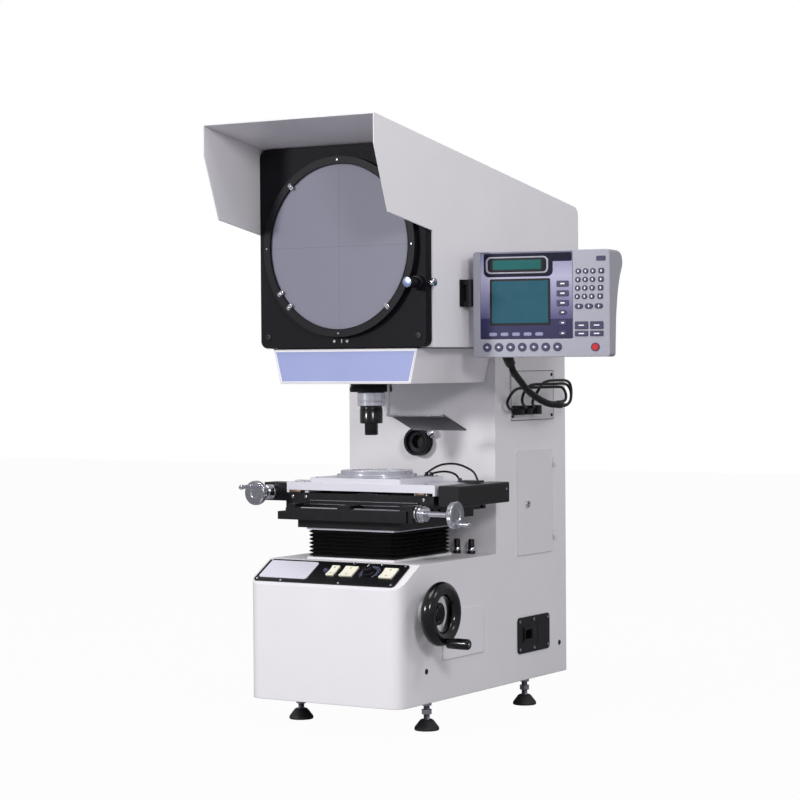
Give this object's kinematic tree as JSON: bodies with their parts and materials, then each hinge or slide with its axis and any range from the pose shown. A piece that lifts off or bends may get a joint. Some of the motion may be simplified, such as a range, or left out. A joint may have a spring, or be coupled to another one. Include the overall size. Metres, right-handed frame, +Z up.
{
  "type": "optical comparator",
  "caption": "Vertical optical comparator: base and column, lifting cross stage with a rotary glass plate, hooded projection head with a turning round screen, swivelling readout console.",
  "frame": {"origin": "on the floor under the middle of the whole outline", "axes": "+X to the operator's right, +Y to the back, +Z up; the screen faces -Y"},
  "size_m": [0.674, 0.756, 1.111],
  "materials": {
    "body_paint": "smooth light grey paint on sheet steel",
    "flange_paint": "smooth light paint",
    "panel_paint": "satin near-black paint",
    "panel_film": "satin printed film on sheet",
    "ivory_plastic": "moulded ivory plastic",
    "black_plastic": "moulded black plastic",
    "bright_steel": "turned bright steel",
    "sheet_plate": "brushed plate",
    "foot_rubber": "moulded rubber on a steel stud",
    "ring_black": "black anodised",
    "ground_glass": "finely ground screen, seen as opaque grey",
    "mirror_glass": "front-silvered glass",
    "lens_black": "black and bright anodised barrel",
    "bellows_cloth": "black coated cloth",
    "stage_black": "black painted casting",
    "grey_casting": "grey casting",
    "chrome_steel": "satin chrome",
    "table_plate": "ground and plated steel",
    "rotary_plate_metal": "turned plate",
    "cover_black": "black anodised extrusion",
    "clear_glass": "clear plate glass",
    "lamp_grey": "pressed sheet",
    "tube_black": "black tube",
    "bracket_black": "black powder paint",
    "console_silver": "silver painted moulding",
    "display_teal": "lit display behind a clear window",
    "key_grey": "moulded keys",
    "key_red": "red key cap",
    "cable_black": "black cable sheath"
  },
  "bodies": {
    "frame": {"base_cabinet": "body_paint", "control_panel": "panel_film", "connector_plate": "sheet_plate", "plugs": "black_plastic", "access_cover": "body_paint", "inlet_plate": "black_plastic", "upper_housing": "body_paint", "lower_head": "body_paint", "screen_panel": "panel_paint", "mirror_small": "mirror_glass", "mirror_large": "mirror_glass", "lens_mount": "ring_black", "surface_lamp": "ring_black", "bellows": "bellows_cloth", "lift_guides": "bright_steel", "lift_gearbox": "grey_casting", "lamp_unit": "lamp_grey", "condenser": "tube_black", "console_bracket": "bracket_black", "console_conduit": "cable_black", "console_leads": "cable_black"},
    "rocker_narrow": {"rocker_narrow": "ivory_plastic"},
    "rocker_mid": {"rocker_mid": "ivory_plastic"},
    "rocker_right": {"rocker_right": "ivory_plastic"},
    "brightness_knob": {"brightness_knob": "black_plastic"},
    "column_door": {"column_door": "body_paint"},
    "door_lock": {"door_lock": "bright_steel"},
    "foot_fl": {"foot_fl": "foot_rubber"},
    "foot_fr": {"foot_fr": "foot_rubber"},
    "foot_rl": {"foot_rl": "foot_rubber"},
    "foot_rr": {"foot_rr": "foot_rubber"},
    "screen": {"screen_ring": "ring_black", "screen_glass": "ground_glass"},
    "ring_knob": {"ring_knob": "ring_black"},
    "ring_lock": {"ring_lock": "bright_steel"},
    "objective": {"objective": "lens_black"},
    "reflector": {"reflector_arm": "bright_steel", "reflector_mirror": "mirror_glass"},
    "carriage": {"lift_flange": "flange_paint", "stage_base": "stage_black"},
    "lift_screw": {"lift_screw": "bright_steel"},
    "handwheel": {"handwheel": "black_plastic", "handwheel_shaft": "bright_steel"},
    "handwheel_handle": {"handwheel_handle": "black_plastic"},
    "saddle": {"saddle": "stage_black", "y_bracket": "stage_black", "scale_cover": "cover_black"},
    "x_crank": {"x_crank": "chrome_steel"},
    "table": {"table": "table_plate", "scale_reader": "black_plastic", "rotary_plate": "table_plate", "stage_leads": "cable_black"},
    "y_crank": {"y_crank": "chrome_steel"},
    "rotary": {"rotary_ring": "rotary_plate_metal", "stage_glass": "clear_glass"},
    "console": {"console_arm": "bracket_black", "console_case": "console_silver", "console_display": "display_teal", "console_keys": "key_grey"},
    "console_power_key": {"console_power_key": "key_red"}
  },
  "joints": [
    {"name": "rocker_narrow_tilt", "type": "hinge", "parent": "frame", "child": "rocker_narrow", "pos_m": [-0.13001, -0.23574, 0.29265], "axis": [1, 0, 0], "range_deg": [-7, 7]},
    {"name": "rocker_mid_tilt", "type": "hinge", "parent": "frame", "child": "rocker_mid", "pos_m": [-0.09501, -0.23574, 0.29265], "axis": [1, 0, 0], "range_deg": [-7, 7]},
    {"name": "rocker_right_tilt", "type": "hinge", "parent": "frame", "child": "rocker_right", "pos_m": [-0.00901, -0.23574, 0.29265], "axis": [1, 0, 0], "range_deg": [-7, 7]},
    {"name": "brightness_turn", "type": "hinge", "parent": "frame", "child": "brightness_knob", "pos_m": [-0.05101, -0.23648, 0.29395], "axis": [0, -0.4948, 0.869], "range_deg": [-135, 135]},
    {"name": "door_swing", "type": "hinge", "parent": "frame", "child": "column_door", "pos_m": [0.04299, 0.297, 0.401], "axis": [0, 0, 1], "range_deg": [0, 110]},
    {"name": "door_lock_turn", "type": "hinge", "parent": "column_door", "child": "door_lock", "pos_m": [0.03849, 0.19, 0.398], "axis": [1, 0, 0], "range_deg": [0, 90]},
    {"name": "foot_fl_turn", "type": "hinge", "parent": "frame", "child": "foot_fl", "pos_m": [-0.26801, -0.143, 0], "axis": [0, 0, 1], "continuous": true},
    {"name": "foot_fr_turn", "type": "hinge", "parent": "frame", "child": "foot_fr", "pos_m": [0.01199, -0.143, 0], "axis": [0, 0, 1], "continuous": true},
    {"name": "foot_rl_turn", "type": "hinge", "parent": "frame", "child": "foot_rl", "pos_m": [-0.26801, 0.226, 0], "axis": [0, 0, 1], "continuous": true},
    {"name": "foot_rr_turn", "type": "hinge", "parent": "frame", "child": "foot_rr", "pos_m": [0.01199, 0.226, 0], "axis": [0, 0, 1], "continuous": true},
    {"name": "screen_turn", "type": "hinge", "parent": "frame", "child": "screen", "pos_m": [-0.12801, -0.205, 0.89], "axis": [0, 1, 0], "continuous": true},
    {"name": "ring_knob_turn", "type": "hinge", "parent": "frame", "child": "ring_knob", "pos_m": [0.03799, -0.205, 0.82], "axis": [0, 1, 0], "continuous": true},
    {"name": "ring_lock_turn", "type": "hinge", "parent": "frame", "child": "ring_lock", "pos_m": [0.06899, -0.195, 0.82], "axis": [1, 0, 0], "range_deg": [0, 270]},
    {"name": "objective_twist", "type": "hinge", "parent": "frame", "child": "objective", "pos_m": [-0.12801, -0.107, 0.54], "axis": [0, 0, 1], "range_deg": [0, 60]},
    {"name": "reflector_swing", "type": "hinge", "parent": "frame", "child": "reflector", "pos_m": [-0.06401, -0.147, 0.637], "axis": [0, 0, 1], "range_deg": [-90, 30]},
    {"name": "stage_lift", "type": "slide", "parent": "frame", "child": "carriage", "axis": [0, 0, 1], "range_m": [-0.03, 0.055], "deforming": ["bellows"]},
    {"name": "lift_screw_turn", "type": "hinge", "parent": "frame", "child": "lift_screw", "pos_m": [-0.12801, -0.011, 0.313], "axis": [0, 0, 1], "range_deg": [-1110, 2010]},
    {"name": "handwheel_turn", "type": "hinge", "parent": "frame", "child": "handwheel", "pos_m": [0.07699, -0.197, 0.222], "axis": [1, 0, 0], "range_deg": [-1110, 2010]},
    {"name": "handle_spin", "type": "hinge", "parent": "handwheel", "child": "handwheel_handle", "pos_m": [0.10699, -0.197, 0.17], "axis": [1, 0, 0], "continuous": true},
    {"name": "saddle_x", "type": "slide", "parent": "carriage", "child": "saddle", "axis": [1, 0, 0], "range_m": [-0.075, 0.075]},
    {"name": "x_crank_turn", "type": "hinge", "parent": "carriage", "child": "x_crank", "pos_m": [0.02599, -0.193, 0.401], "axis": [1, 0, 0], "range_deg": [-2730, 2730]},
    {"name": "table_y", "type": "slide", "parent": "saddle", "child": "table", "axis": [0, 1, 0], "range_m": [-0.045, 0.005]},
    {"name": "y_crank_turn", "type": "hinge", "parent": "saddle", "child": "y_crank", "pos_m": [-0.31401, -0.165, 0.4324], "axis": [0, 1, 0], "range_deg": [-1650, 210]},
    {"name": "rotary_turn", "type": "hinge", "parent": "table", "child": "rotary", "pos_m": [-0.12801, -0.088, 0.4608], "axis": [0, 0, 1], "continuous": true},
    {"name": "console_swivel", "type": "hinge", "parent": "frame", "child": "console", "pos_m": [0.06899, -0.076, 0.803], "axis": [0, 0, 1], "range_deg": [-35, 0]},
    {"name": "power_key_press", "type": "slide", "parent": "console", "child": "console_power_key", "axis": [-0.1736, 0.9848, 0], "range_m": [0, 0.001], "stiffness_N_per_m": 400}
  ],
  "couplings": [
    {"joint": "ring_knob_turn", "follows": "screen_turn", "ratio": -12.561},
    {"joint": "lift_screw_turn", "follows": "stage_lift", "rad_per_m": 628.32},
    {"joint": "handwheel_turn", "follows": "stage_lift", "rad_per_m": 628.32},
    {"joint": "x_crank_turn", "follows": "saddle_x", "rad_per_m": 628.32},
    {"joint": "y_crank_turn", "follows": "table_y", "rad_per_m": 628.32}
  ]
}
